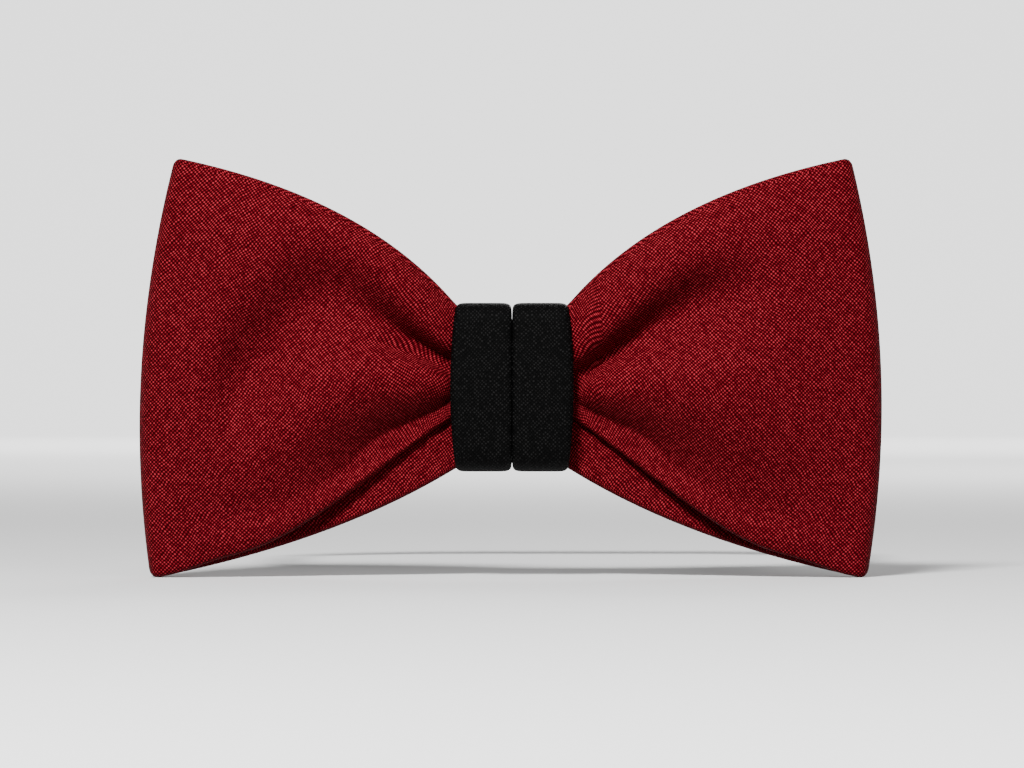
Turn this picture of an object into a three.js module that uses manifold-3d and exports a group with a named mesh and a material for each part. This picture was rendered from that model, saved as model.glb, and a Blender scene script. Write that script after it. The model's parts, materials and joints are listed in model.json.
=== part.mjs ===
// A pre-tied butterfly bow tie: two folded cloth wings gathered in a black
// knot, on an adjustable neck strap with a slider, a hook and an eye.
// Millimetres, +Z up. The bow faces -Y and the neck is on the +Y side. The
// origin is on the neck side of the strap, behind the middle of the knot.

import * as THREE from 'three';
import { mergeVertices } from 'three/addons/utils/BufferGeometryUtils.js';
import Module from 'manifold-3d';

const wasm = await Module();
wasm.setup();

// ---- Driving dimensions ----------------------------------------------------

const CLEARANCE = 0.3; // between two pieces that lie against each other

// Bow, seen from the front; heights are from the middle of the knot
const BOW_WIDTH = 140; // over the widest part of both wings
const WING_TOP = 43.2; // top corner
const WING_BOTTOM = 36; // bottom corner
const TOP_CORNER_INSET = 6.2; // from the widest point in to the top corner
const BOTTOM_CORNER_INSET = 1.6; // from the widest point in to the bottom corner
const WING_ROOT_TOP = 15; // top edge where it enters the knot
const WING_ROOT_BOTTOM = 14.8; // bottom edge of the back leaf at the knot
const LEAF_STEP = 8; // front leaf's hem above the back leaf's, at the knot

// Control points of the curved edges, as shares of the run and of the rise
const TOP_EDGE_BOW = { along: 0.32, up: 0.74 };
const BOTTOM_EDGE_BOW = { along: 0.4, up: 0.68 };

// Wing cloth
const BLADE_THICKNESS = 2.1; // two layers of cloth with the interlining between
const CLOTH = 0.45;
const INTERLINING = BLADE_THICKNESS - 2 * (CLOTH + CLEARANCE);
const HEM = 0.9; // cloth turned in along the top and bottom edges
const FOLD_RADIUS = 2.8; // middle of the blade, round the outer edge
const LEAF_SPREAD = 2.7; // each leaf's middle from the wing's middle, at the knot
const FRONT_FULLNESS = 3.4; // how far the front leaf swells between knot and edge
const UPPER_PLEAT = 1.7; // depth of the crease above the middle roll
const LOWER_PLEAT = 1.9; // depth of the crease above the hem roll

// Knot: two bands side by side round the gathered waist
const KNOT_WIDTH = 22.6;
const KNOT_HEIGHT = 31.2;
const KNOT_DEPTH = 12;
const BAND_THICKNESS = 0.9;
const KNOT_FRONT_RADIUS = 4;
const KNOT_BACK_RADIUS = 2.4;
const BAND_LAP_HEIGHT = 11.4; // where the outer end of each band stops
const BAND_START_HEIGHT = -7; // where the inner end of each band starts
const WAIST_RIPPLE = 0.5; // depth of the gathers in the waist
const WAIST_CORNER = 3; // radius
const BINDING_THREAD = 0.6; // diameter
const BINDING_TURNS = 3;
const SEWING_THREAD = 0.4; // diameter
const TACK_WIDTH = 1.6; // a row of tight stitches
const KNOT_TACK_HEIGHT = 10.4; // the rows that hold the strap to the knot
const STRAP_TACK_HEIGHT = 12.8; // the rows across the doubled strap
const WING_GAP = 1.7; // knot to wing, room for the wing to swing

// Neck strap, worn closed; the loop is measured on the strap's middle line
const STRAP_WIDTH = 16;
const STRAP_THICKNESS = 1.2;
const LOOP_WIDTH = 112;
const LOOP_DEPTH = 127.4;
const LOOP_CORNER = 32; // right side, beside the metal fittings
const LEFT_CORNER = 42;
const LAP_LENGTH = 12; // strap doubled back and sewn at the eye
const STRAP_END_ANGLE = 60; // degrees round the right front corner, where the free end bends

// Hook, eye and slider
const WIRE = 1.6; // diameter of the hook's and the eye's bars
const SLIDER_BAR = 1.4; // diameter
const SLIDER_LENGTH = 8.4; // between its outer bars
const SLIDER_PLACE = 38.5; // its middle, along the right side of the loop
const SLIDER_LAP = 7; // sewn tail, from the slider's middle
const HOOK_PLACE = 78.4; // the hook's bar, along the right side of the loop
const HOOK_REACH = 5.4; // hook's bar to the eye's near bar
const EYE_LENGTH = 7.2; // between the eye's two bars
const CATCH_PLAY = 0.8; // between the hook's lip and the eye's near bar
const CATCH_WIDTH = 8;
const CATCH_THICKNESS = 1;
const CATCH_DEPTH = 2; // how far the lip reaches past the bars' middle line
const CROSSBAR_REACH = 3.4; // hook's bar to its crossbar
const SIDE_PLAY = 0.4; // strap's edge to the metal beside it

// ---- Derived places -----------------------------------------------------------

const KNOT_BACK = -STRAP_THICKNESS - CLEARANCE;
const WING_MIDDLE_Y = KNOT_BACK - KNOT_DEPTH / 2;
const KNOT_HALF_WIDTH = KNOT_WIDTH / 2;
const BLADE_HALF = BLADE_THICKNESS / 2;
const STRAP_MIDDLE_Y = -STRAP_THICKNESS / 2;
const STRAP_HALF = STRAP_THICKNESS / 2;
const LAP_OFFSET = STRAP_THICKNESS + CLEARANCE; // middle to middle of two strap layers
const FLANK_X = LOOP_WIDTH / 2;
const CORNER_X = FLANK_X - LOOP_CORNER;
const FRONT_CORNER_Y = STRAP_MIDDLE_Y + LOOP_CORNER;
const LOOP_BACK_Y = STRAP_MIDDLE_Y + LOOP_DEPTH;
const BACK_CORNER_Y = LOOP_BACK_Y - LOOP_CORNER;
const BAR_X = FLANK_X + LAP_OFFSET / 2; // hook's and eye's bars, between the strap's two layers
const EYE_NEAR_Y = HOOK_PLACE + HOOK_REACH;
const EYE_FAR_Y = EYE_NEAR_Y + EYE_LENGTH;
const WRAP_RADIUS = WIRE / 2 + CLEARANCE + STRAP_HALF; // strap's middle line round a bar
const WRAP_RUN = 4.4; // from a bar to where the strap's two layers close up
const METAL_HALF_HEIGHT = STRAP_WIDTH / 2 + SIDE_PLAY + WIRE / 2;

// ---- Small helpers ------------------------------------------------------------

const lerp = (a, b, share) => a + (b - a) * share;

const radians = (degrees) => (degrees * Math.PI) / 180;

function smoothstep(from, to, value) {
  const share = Math.min(1, Math.max(0, (value - from) / (to - from)));
  return share * share * (3 - 2 * share);
}

// Height share of a quadratic Bezier curve from (0, 0) to (1, 1) at a given run share.
function bowedShare(run, { along, up }) {
  const bend = 1 - 2 * along;
  const place = (Math.sqrt(along * along + bend * run) - along) / bend;
  return 2 * place * (1 - place) * up + place * place;
}

function named(name, geometry, material) {
  const mesh = new THREE.Mesh(geometry, material);
  mesh.name = name;
  return mesh;
}

function geometryFrom(points, triangles) {
  const geometry = new THREE.BufferGeometry();
  geometry.setAttribute('position', new THREE.Float32BufferAttribute(points.flat(), 3));
  geometry.setIndex(triangles.flat());
  geometry.computeVertexNormals();
  return geometry;
}

// Points along an arc, angles in degrees, both ends included.
function arc(x, y, radius, from, to, steps) {
  const points = [];
  for (let i = 0; i <= steps; i += 1) {
    const angle = radians(lerp(from, to, i / steps));
    points.push(new THREE.Vector2(x + radius * Math.cos(angle), y + radius * Math.sin(angle)));
  }
  return points;
}

const at = (x, y) => new THREE.Vector2(x, y);

// Outline of a ribbon of even thickness whose middle line is the given path.
function ribbonShape(path, thickness) {
  const side = (sign) => path.map((point, i) => {
    const before = path[Math.max(i - 1, 0)];
    const after = path[Math.min(i + 1, path.length - 1)];
    const arriving = point.clone().sub(before).normalize();
    const leaving = after.clone().sub(point).normalize();
    const heading = arriving.clone().add(leaving).normalize();
    const turn = i === 0 || i === path.length - 1 ? 1 : heading.dot(leaving);
    const reach = (sign * thickness) / 2 / turn;
    return at(point.x - heading.y * reach, point.y + heading.x * reach);
  });
  return new THREE.Shape([...side(1), ...side(-1).reverse()]);
}

function extruded(shape, depth) {
  return new THREE.ExtrudeGeometry(shape, { depth, bevelEnabled: false, curveSegments: 8 });
}

// A strap lies flat in the XY plane's outline and stands STRAP_WIDTH tall, middle at z = 0.
function strapGeometry(path) {
  const geometry = extruded(ribbonShape(path, STRAP_THICKNESS), STRAP_WIDTH);
  return geometry.translate(0, 0, -STRAP_WIDTH / 2);
}

// A thread of the given diameter along a curve.
function threadGeometry(points, diameter, steps) {
  const sides = 6;
  const section = new THREE.Shape();
  for (let i = 0; i < sides; i += 1) {
    const angle = (i / sides) * 2 * Math.PI;
    const corner = [(diameter / 2) * Math.cos(angle), (diameter / 2) * Math.sin(angle)];
    if (i === 0) section.moveTo(...corner);
    else section.lineTo(...corner);
  }
  section.closePath();
  const extrudePath = new THREE.CatmullRomCurve3(points);
  return new THREE.ExtrudeGeometry(section, { steps, extrudePath, bevelEnabled: false });
}

// ---- Joining and cutting closed solids ------------------------------------------

function toManifold(geometry) {
  const bare = geometry.clone();
  bare.deleteAttribute('normal');
  bare.deleteAttribute('uv');
  const merged = mergeVertices(bare, 1e-4);
  return new wasm.Manifold(new wasm.Mesh({
    numProp: 3,
    vertProperties: new Float32Array(merged.attributes.position.array),
    triVerts: new Uint32Array(merged.index.array),
  }));
}

function fromManifold(solid) {
  const mesh = solid.getMesh();
  const geometry = new THREE.BufferGeometry();
  geometry.setAttribute('position', new THREE.BufferAttribute(mesh.vertProperties, 3));
  geometry.setIndex(new THREE.BufferAttribute(mesh.triVerts, 1));
  geometry.computeVertexNormals();
  return geometry;
}

function joined(geometries) {
  return fromManifold(geometries.map(toManifold).reduce((whole, next) => whole.add(next)));
}

function cutBy(geometry, tools) {
  return fromManifold(tools.map(toManifold).reduce((rest, tool) => rest.subtract(tool), toManifold(geometry)));
}

// ---- Wings ----------------------------------------------------------------------

// Lateral places on the wing, sign aside: x grows from the knot to the outer edge.
const WING_START_X = KNOT_HALF_WIDTH + WING_GAP;

// The outer edge's parabola stands this far past a straight line between the two corners, which
// brings its widest point to half the bow's width.
const MEAN_INSET = (TOP_CORNER_INSET + BOTTOM_CORNER_INSET) / 2;
const OUTER_EDGE_BULGE = (MEAN_INSET + Math.sqrt(TOP_CORNER_INSET * BOTTOM_CORNER_INSET)) / 2;

// `down` is 0 on the top edge and 1 on the bottom edge.
function outerEdgeX(down) {
  const inset = lerp(TOP_CORNER_INSET, BOTTOM_CORNER_INSET, down);
  return BOW_WIDTH / 2 - inset + 4 * OUTER_EDGE_BULGE * down * (1 - down);
}

// `out` is 0 at the knot's side and 1 where the blade starts to fold round.
function bladeX(out, down) {
  return lerp(WING_START_X, outerEdgeX(down) - FOLD_RADIUS - BLADE_HALF, out);
}

// Share of the run from the knot's side to the fold, for the edge curves.
function runShare(out, down) {
  return (bladeX(out, down) - KNOT_HALF_WIDTH) / (bladeX(1, down) - KNOT_HALF_WIDTH);
}

const topEdgeZ = (run) => lerp(WING_ROOT_TOP, WING_TOP, bowedShare(run, TOP_EDGE_BOW));

const backHemZ = (run) => -lerp(WING_ROOT_BOTTOM, WING_BOTTOM, bowedShare(run, BOTTOM_EDGE_BOW));

const frontHemZ = (run) => backHemZ(run) + LEAF_STEP * (1 - smoothstep(0.05, 0.75, run));

// A crease across the front leaf: how far it sinks towards the back leaf.
function crease(down, centre, width, depth) {
  const offset = (down - centre) / width;
  return depth * Math.exp(-offset * offset);
}

function frontLeafY(out, down) {
  const swell = LEAF_SPREAD + FRONT_FULLNESS * Math.sin(Math.PI * out) * Math.sin(Math.PI * down) ** 0.5;
  const upper = crease(down, lerp(0.44, 0.28, smoothstep(0, 0.4, out)), 0.1, UPPER_PLEAT);
  const lower = crease(down, lerp(0.84, 0.92, smoothstep(0, 0.5, out)), 0.08, LOWER_PLEAT);
  const fade = 1 - smoothstep(0.1, 0.6, out);
  return WING_MIDDLE_Y - swell + (upper + lower) * fade;
}

function backLeafY(out) {
  return WING_MIDDLE_Y + lerp(LEAF_SPREAD, FOLD_RADIUS, out);
}

// Stations along the blade: out along the front leaf, round the fold, back along the rear leaf.
const LEAF_STEPS = 7;
const FOLD_STEPS = 4;
const DOWN_STEPS = 10;

function bladeStations() {
  const stations = [];
  for (let i = 0; i <= LEAF_STEPS; i += 1) stations.push({ leaf: 'front', out: (i / LEAF_STEPS) ** 1.2 });
  for (let i = 1; i < FOLD_STEPS; i += 1) stations.push({ leaf: 'fold', turn: i / FOLD_STEPS });
  for (let i = LEAF_STEPS; i >= 0; i -= 1) stations.push({ leaf: 'back', out: (i / LEAF_STEPS) ** 1.2 });
  return stations;
}

// A point of the blade at a station, `down` its width, `off` away from its middle towards the outside.
function bladePoint(station, down, off) {
  if (station.leaf === 'fold') {
    const run = runShare(1, down);
    const front = frontLeafY(1, down);
    const middle = (front + backLeafY(1)) / 2;
    const radius = (backLeafY(1) - front) / 2 + off;
    const angle = radians(lerp(-90, 90, station.turn));
    const z = lerp(topEdgeZ(run), backHemZ(run), down);
    return [bladeX(1, down) + radius * Math.cos(angle), middle + radius * Math.sin(angle), z];
  }
  const run = runShare(station.out, down);
  if (station.leaf === 'front') {
    const z = lerp(topEdgeZ(run), frontHemZ(run), down);
    return [bladeX(station.out, down), frontLeafY(station.out, down) - off, z];
  }
  const z = lerp(topEdgeZ(run), backHemZ(run), down);
  return [bladeX(station.out, down), backLeafY(station.out) + off, z];
}

// One closed ring round the blade at a station: down the outside, up the inside.
function bladeRing(station, half, margin) {
  const height = bladePoint(station, 0, 0)[2] - bladePoint(station, 1, 0)[2];
  const inset = margin / height;
  const ring = [];
  for (let j = 0; j <= DOWN_STEPS; j += 1) {
    ring.push(bladePoint(station, lerp(inset, 1 - inset, j / DOWN_STEPS), half));
  }
  const bottom = bladePoint(station, 1 - inset, 0);
  ring.push([bottom[0], bottom[1], bottom[2] - half / 2]);
  for (let j = DOWN_STEPS; j >= 0; j -= 1) {
    ring.push(bladePoint(station, lerp(inset, 1 - inset, j / DOWN_STEPS), -half));
  }
  const top = bladePoint(station, inset, 0);
  ring.push([top[0], top[1], top[2] + half / 2]);
  return ring;
}

// Triangles of the wall between consecutive rings that start at vertex `first`.
function ringWalls(rings, first, inward) {
  const count = rings[0].length;
  const triangles = [];
  for (let i = 0; i + 1 < rings.length; i += 1) {
    for (let k = 0; k < count; k += 1) {
      const next = (k + 1) % count;
      const a = first + i * count + k;
      const b = first + i * count + next;
      const c = a + count;
      const d = b + count;
      if (inward) triangles.push([a, c, b], [b, c, d]);
      else triangles.push([a, b, c], [b, d, c]);
    }
  }
  return triangles;
}

// A tube of cloth: an outer and an inner wall, open at both ends.
function clothTube() {
  const stations = bladeStations();
  const outer = stations.map((station) => bladeRing(station, BLADE_HALF, BLADE_HALF / 2));
  const inner = stations.map((station) => bladeRing(station, BLADE_HALF - CLOTH, HEM + BLADE_HALF / 2));
  const count = outer[0].length;
  const innerFirst = outer.length * count;
  const triangles = [...ringWalls(outer, 0, false), ...ringWalls(inner, innerFirst, true)];
  const lastRing = (stations.length - 1) * count;
  for (let k = 0; k < count; k += 1) {
    const next = (k + 1) % count;
    const [a, b, c, d] = [k, next, innerFirst + k, innerFirst + next];
    triangles.push([a, c, b], [b, c, d]);
    triangles.push([lastRing + a, lastRing + b, lastRing + c], [lastRing + b, lastRing + d, lastRing + c]);
  }
  return geometryFrom([...outer, ...inner].flat(), triangles);
}

// The interlining fills the tube, a clearance away from its inner wall.
function interliningSheet() {
  const margin = HEM + BLADE_HALF / 2 + CLEARANCE;
  const rings = bladeStations().map((station) => bladeRing(station, INTERLINING / 2, margin));
  const count = rings[0].length;
  const triangles = ringWalls(rings, 0, false);
  const lastRing = (rings.length - 1) * count;
  const topPoint = count - 1;
  const bottomPoint = DOWN_STEPS + 1;
  const acrossFrom = (j) => 2 * DOWN_STEPS + 2 - j;
  const cap = [[topPoint, 0, acrossFrom(0)], [bottomPoint, acrossFrom(DOWN_STEPS), DOWN_STEPS]];
  for (let j = 0; j < DOWN_STEPS; j += 1) {
    cap.push([j, j + 1, acrossFrom(j)], [j + 1, acrossFrom(j + 1), acrossFrom(j)]);
  }
  cap.forEach(([a, b, c]) => triangles.push([a, c, b], [lastRing + a, lastRing + b, lastRing + c]));
  return geometryFrom(rings.flat(), triangles);
}

// The right wing's solid as it is, or mirrored for the left wing with its faces kept outward.
function onSide(geometry, side) {
  if (side === 'right') return geometry;
  const mirrored = geometry.clone().scale(-1, 1, 1);
  const { array } = mirrored.index;
  for (let i = 0; i < array.length; i += 3) [array[i], array[i + 1]] = [array[i + 1], array[i]];
  mirrored.computeVertexNormals();
  return mirrored;
}

// ---- Knot -------------------------------------------------------------------------

const SIDES = [['left', -1], ['right', 1]];
const BAND_WIDTH = (KNOT_WIDTH - CLEARANCE) / 2;
const BAND_MIDDLE_X = (BAND_WIDTH + CLEARANCE) / 2;
const BAND_HALF_HEIGHT = (KNOT_HEIGHT - BAND_THICKNESS) / 2; // to the band's middle line
const BAND_FRONT_Y = KNOT_BACK - KNOT_DEPTH + BAND_THICKNESS / 2;
const OUTER_LAP_Y = KNOT_BACK - BAND_THICKNESS / 2;
const INNER_LAP_Y = OUTER_LAP_Y - BAND_THICKNESS - CLEARANCE;

// Extrudes a shape drawn with +Y across and +Z up along X, its middle at the given x.
function acrossX(shape, width, middle) {
  const geometry = extruded(shape, width);
  geometry.rotateY(Math.PI / 2);
  geometry.rotateX(Math.PI / 2);
  return geometry.translate(middle - width / 2, 0, 0);
}

// The band starts inside at the back, goes over the top, down the front and laps over its start.
function bandPath() {
  const front = KNOT_FRONT_RADIUS;
  const back = KNOT_BACK_RADIUS;
  const half = BAND_HALF_HEIGHT;
  return [
    at(INNER_LAP_Y, BAND_START_HEIGHT),
    ...arc(INNER_LAP_Y - back, half - back, back, 0, 90, 4),
    ...arc(BAND_FRONT_Y + front, half - front, front, 90, 180, 5),
    ...arc(BAND_FRONT_Y + front, front - half, front, 180, 270, 5),
    ...arc(OUTER_LAP_Y - back, back - half, back, 270, 360, 4),
    at(OUTER_LAP_Y, BAND_LAP_HEIGHT),
  ];
}

function knotBand(sign) {
  return acrossX(ribbonShape(bandPath(), BAND_THICKNESS), BAND_WIDTH, sign * BAND_MIDDLE_X);
}

// Room inside the bands, for the waist and its binding.
const ROOM_FRONT_Y = BAND_FRONT_Y + BAND_THICKNESS / 2 + CLEARANCE;
const ROOM_BACK_Y = INNER_LAP_Y - BAND_THICKNESS / 2 - CLEARANCE;
const ROOM_HALF_HEIGHT = BAND_HALF_HEIGHT - BAND_THICKNESS / 2 - CLEARANCE;
const ROOM_MIDDLE_Y = (ROOM_FRONT_Y + ROOM_BACK_Y) / 2;
const BINDING_SLACK = 2 * CLEARANCE; // the thread cuts the waist's corners a little
const WAIST_INSET = BINDING_THREAD + BINDING_SLACK;
const WAIST_HALF_DEPTH = (ROOM_BACK_Y - ROOM_FRONT_Y) / 2 - WAIST_INSET;
const WAIST_HALF_HEIGHT = ROOM_HALF_HEIGHT - WAIST_INSET;

// Evenly spaced points [y, z] round the waist, with `grow` added all round.
function waistOutline(grow, count) {
  const radius = WAIST_CORNER + grow;
  const y = WAIST_HALF_DEPTH + grow - radius;
  const z = WAIST_HALF_HEIGHT + grow - radius;
  const corners = [[y, z, 0], [-y, z, 90], [-y, -z, 180], [y, -z, 270]];
  const outline = new THREE.Path();
  corners.forEach(([cornerY, cornerZ, from]) => {
    outline.absarc(ROOM_MIDDLE_Y + cornerY, cornerZ, radius, radians(from), radians(from + 90));
  });
  outline.closePath();
  return outline.getSpacedPoints(count).slice(0, count);
}

function bowWaist() {
  const steps = 60;
  const gathers = 10;
  const crests = waistOutline(0, steps);
  const valleys = waistOutline(-WAIST_RIPPLE, steps);
  const outline = crests.map((crest, i) => {
    const sunk = (1 - Math.cos((gathers * 2 * Math.PI * i) / steps)) / 2;
    return crest.clone().lerp(valleys[i], sunk);
  });
  return acrossX(new THREE.Shape(outline), KNOT_WIDTH - 2 * CLEARANCE, 0);
}

function bindingThread() {
  const stepsPerTurn = 24;
  const steps = stepsPerTurn * BINDING_TURNS;
  const pitch = BINDING_THREAD + CLEARANCE;
  const turn = waistOutline(BINDING_SLACK + BINDING_THREAD / 2, stepsPerTurn);
  const points = [];
  for (let i = 0; i <= steps; i += 1) {
    const place = turn[i % stepsPerTurn];
    points.push(new THREE.Vector3((i / stepsPerTurn - BINDING_TURNS / 2) * pitch, place.x, place.y));
  }
  return threadGeometry(points, BINDING_THREAD, steps);
}

// Whip stitches over the lapped ends, from the outer ply over its edge on to the one beneath.
function knotBackStitching() {
  const stitches = 8;
  const reach = 1.1;
  const proud = BAND_THICKNESS / 2 + CLEARANCE + SEWING_THREAD / 2;
  const points = [];
  for (let i = 0; i <= 2 * stitches; i += 1) {
    const x = lerp(-0.8, 0.8, i / (2 * stitches)) * KNOT_HALF_WIDTH;
    const step = i % 4;
    const onInnerPly = step === 2;
    const y = (onInnerPly ? INNER_LAP_Y : OUTER_LAP_Y) + proud;
    const rise = { 0: -reach, 1: CLEARANCE + SEWING_THREAD, 2: reach, 3: CLEARANCE + SEWING_THREAD }[step];
    points.push(new THREE.Vector3(x, y, BAND_LAP_HEIGHT + rise));
  }
  return threadGeometry(points, SEWING_THREAD, stitches * 6);
}

// ---- Neck strap -------------------------------------------------------------------

// Round a bar whose middle is at (BAR_X, barY), in from the main layer and out to the doubled
// layer; `toward` is +1 where the strap comes from greater y.
function wrapPath(barY, toward) {
  const opening = 20;
  const from = toward > 0 ? 180 - opening : 180 + opening;
  const to = toward > 0 ? 360 + opening : -opening;
  return arc(BAR_X, barY, WRAP_RADIUS, from, to, 9);
}

// From the eye round the nape and the left side, behind the knot, to the right front corner.
function neckStrapPath() {
  const lapRadius = LOOP_CORNER + LAP_OFFSET;
  const closeY = EYE_FAR_Y + WRAP_RUN;
  const onFlank = Math.max(0, BACK_CORNER_Y - closeY);
  const lapAngle = (180 / Math.PI) * ((LAP_LENGTH - onFlank) / lapRadius);
  const cut = (180 / Math.PI) * ((STRAP_HALF + CLEARANCE) / LOOP_CORNER);
  const endAngle = STRAP_END_ANGLE - 90 - cut;
  return [
    ...arc(CORNER_X, BACK_CORNER_Y, lapRadius, lapAngle, 2, 4),
    at(FLANK_X + LAP_OFFSET, closeY),
    ...wrapPath(EYE_FAR_Y, 1).reverse(),
    at(FLANK_X, closeY),
    ...arc(CORNER_X, BACK_CORNER_Y, LOOP_CORNER, 2, 90, 10),
    ...arc(LEFT_CORNER - FLANK_X, LOOP_BACK_Y - LEFT_CORNER, LEFT_CORNER, 90, 180, 10),
    ...arc(LEFT_CORNER - FLANK_X, STRAP_MIDDLE_Y + LEFT_CORNER, LEFT_CORNER, 180, 270, 10),
    ...arc(CORNER_X, FRONT_CORNER_Y, LOOP_CORNER, 270, 360 + endAngle, 7),
  ];
}

// Behind the knot the strap has a groove for each row of stitches, so its neck side stays flat.
function neckStrap() {
  const grooves = SIDES.map(([, sign]) => {
    const groove = new THREE.BoxGeometry(
      TACK_WIDTH + 2 * CLEARANCE,
      2 * (SEWING_THREAD + CLEARANCE),
      KNOT_TACK_HEIGHT + 2 * CLEARANCE,
    );
    return groove.translate(sign * BAND_MIDDLE_X, 0, 0);
  });
  return cutBy(strapGeometry(neckStrapPath()), grooves);
}

// The free end starts with a round nose on its bending line and ends wrapped round the hook's bar.
function strapEnd() {
  const closeY = HOOK_PLACE - WRAP_RUN;
  const bendAngle = STRAP_END_ANGLE - 90;
  const bend = arc(CORNER_X, FRONT_CORNER_Y, LOOP_CORNER, bendAngle, bendAngle, 1)[0];
  const path = [
    ...arc(CORNER_X, FRONT_CORNER_Y, LOOP_CORNER, bendAngle, 0, 4),
    at(FLANK_X, closeY),
    ...wrapPath(HOOK_PLACE, -1),
    at(FLANK_X + LAP_OFFSET, closeY),
  ];
  const nose = new THREE.CylinderGeometry(STRAP_HALF, STRAP_HALF, STRAP_WIDTH, 12);
  nose.rotateX(Math.PI / 2).translate(bend.x, bend.y, 0);
  return joined([strapGeometry(path), nose]);
}

const SLIDER_BAR_X = FLANK_X + LAP_OFFSET + STRAP_HALF + CLEARANCE + SLIDER_BAR / 2;

// The doubled layer between the slider's sewn tail and the hook.
function strapReturn() {
  const x = FLANK_X + LAP_OFFSET;
  const from = SLIDER_PLACE + SLIDER_LAP + CLEARANCE;
  return strapGeometry([at(x, from), at(x, HOOK_PLACE - WRAP_RUN - CLEARANCE)]);
}

// The tail of the strap, under the slider's middle bar, round it and down on itself.
function sliderLoop() {
  const radius = SLIDER_BAR_X - FLANK_X - LAP_OFFSET;
  const lapY = SLIDER_PLACE + SLIDER_LAP;
  return strapGeometry([
    at(FLANK_X + LAP_OFFSET, lapY),
    ...arc(SLIDER_BAR_X, SLIDER_PLACE, radius, 180, 350, 9),
    at(FLANK_X + 2 * LAP_OFFSET, SLIDER_PLACE + SLIDER_LAP * 0.55),
    at(FLANK_X + 2 * LAP_OFFSET, lapY),
  ]);
}

// A row of tight stitches, drawn as one low bar of thread.
function tackGeometry(height) {
  return new THREE.BoxGeometry(TACK_WIDTH, SEWING_THREAD, height);
}

// ---- Metal ------------------------------------------------------------------------

function uprightBar(x, y, diameter) {
  const bar = new THREE.CylinderGeometry(diameter / 2, diameter / 2, 2 * METAL_HALF_HEIGHT, 12);
  return bar.rotateX(Math.PI / 2).translate(x, y, 0);
}

// Two short arms, above and below the strap, that join bars at two places.
function arms(fromY, toY, diameter) {
  return [1, -1].map((sign) => {
    const arm = new THREE.CylinderGeometry(diameter / 2, diameter / 2, toY - fromY, 12);
    return arm.translate(BAR_X, (fromY + toY) / 2, sign * METAL_HALF_HEIGHT);
  });
}

// Round corners where bars and arms meet.
function knuckles(places, diameter) {
  return places.flatMap(([x, y]) => [1, -1].map((sign) => (
    new THREE.SphereGeometry(diameter / 2, 10, 6).translate(x, y, sign * METAL_HALF_HEIGHT)
  )));
}

function eyeRing() {
  return joined([
    uprightBar(BAR_X, EYE_NEAR_Y, WIRE),
    uprightBar(BAR_X, EYE_FAR_Y, WIRE),
    ...arms(EYE_NEAR_Y, EYE_FAR_Y, WIRE),
    ...knuckles([[BAR_X, EYE_NEAR_Y], [BAR_X, EYE_FAR_Y]], WIRE),
  ]);
}

// A flat tongue that passes outside the eye's near bar, with a lip that drops in behind it.
function hookCatch() {
  const lipInner = HOOK_REACH + WIRE / 2 + CATCH_PLAY;
  const lipOuter = lipInner + CATCH_THICKNESS;
  const under = WIRE / 2 + CLEARANCE;
  const over = under + CATCH_THICKNESS;
  const lean = (reach, radius) => 90 - (180 / Math.PI) * Math.asin(reach / radius);
  const outline = [
    at(under, CROSSBAR_REACH),
    at(over, CROSSBAR_REACH),
    ...arc(0, 0, lipOuter, lean(over, lipOuter), lean(-CATCH_DEPTH, lipOuter), 6),
    ...arc(0, 0, lipInner, lean(-CATCH_DEPTH, lipInner), lean(under, lipInner), 6),
  ];
  const plate = extruded(new THREE.Shape(outline), CATCH_WIDTH);
  return plate.translate(BAR_X, HOOK_PLACE, -CATCH_WIDTH / 2);
}

// The catch stands on the crossbar by a short web.
function hookWeb() {
  const web = new THREE.BoxGeometry(WIRE / 2 + CLEARANCE + CATCH_THICKNESS, SLIDER_BAR, CATCH_WIDTH);
  return web.translate(BAR_X + (WIRE / 2 + CLEARANCE + CATCH_THICKNESS) / 2, HOOK_PLACE + CROSSBAR_REACH, 0);
}

function hookFrame() {
  const crossbarY = HOOK_PLACE + CROSSBAR_REACH;
  return joined([
    uprightBar(BAR_X, HOOK_PLACE, WIRE),
    uprightBar(BAR_X, crossbarY, SLIDER_BAR),
    ...arms(HOOK_PLACE, crossbarY, SLIDER_BAR),
    ...knuckles([[BAR_X, HOOK_PLACE]], WIRE),
    ...knuckles([[BAR_X, crossbarY]], SLIDER_BAR),
    hookWeb(),
    hookCatch(),
  ]);
}

// Three bars on two arched side plates: the outer bars on the neck side, the middle one outside.
function sliderFrame() {
  const outerBarX = FLANK_X - STRAP_HALF - CLEARANCE - SLIDER_BAR / 2;
  const half = SLIDER_LENGTH / 2;
  const radius = SLIDER_BAR / 2;
  const sidePlate = new THREE.Shape([
    ...arc(outerBarX, SLIDER_PLACE - half, radius, 135, 315, 6),
    ...arc(SLIDER_BAR_X, SLIDER_PLACE, radius, -45, 45, 4),
    ...arc(outerBarX, SLIDER_PLACE + half, radius, 45, 225, 6),
    at(SLIDER_BAR_X - SLIDER_BAR * 0.8, SLIDER_PLACE),
  ]);
  const plates = [1, -1].map((sign) => (
    extruded(sidePlate, SLIDER_BAR).translate(0, 0, sign * METAL_HALF_HEIGHT - SLIDER_BAR / 2)
  ));
  return joined([
    uprightBar(outerBarX, SLIDER_PLACE - half, SLIDER_BAR),
    uprightBar(outerBarX, SLIDER_PLACE + half, SLIDER_BAR),
    uprightBar(SLIDER_BAR_X, SLIDER_PLACE, SLIDER_BAR),
    ...plates,
  ]);
}

// ---- Materials and assembly ---------------------------------------------------------

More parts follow.
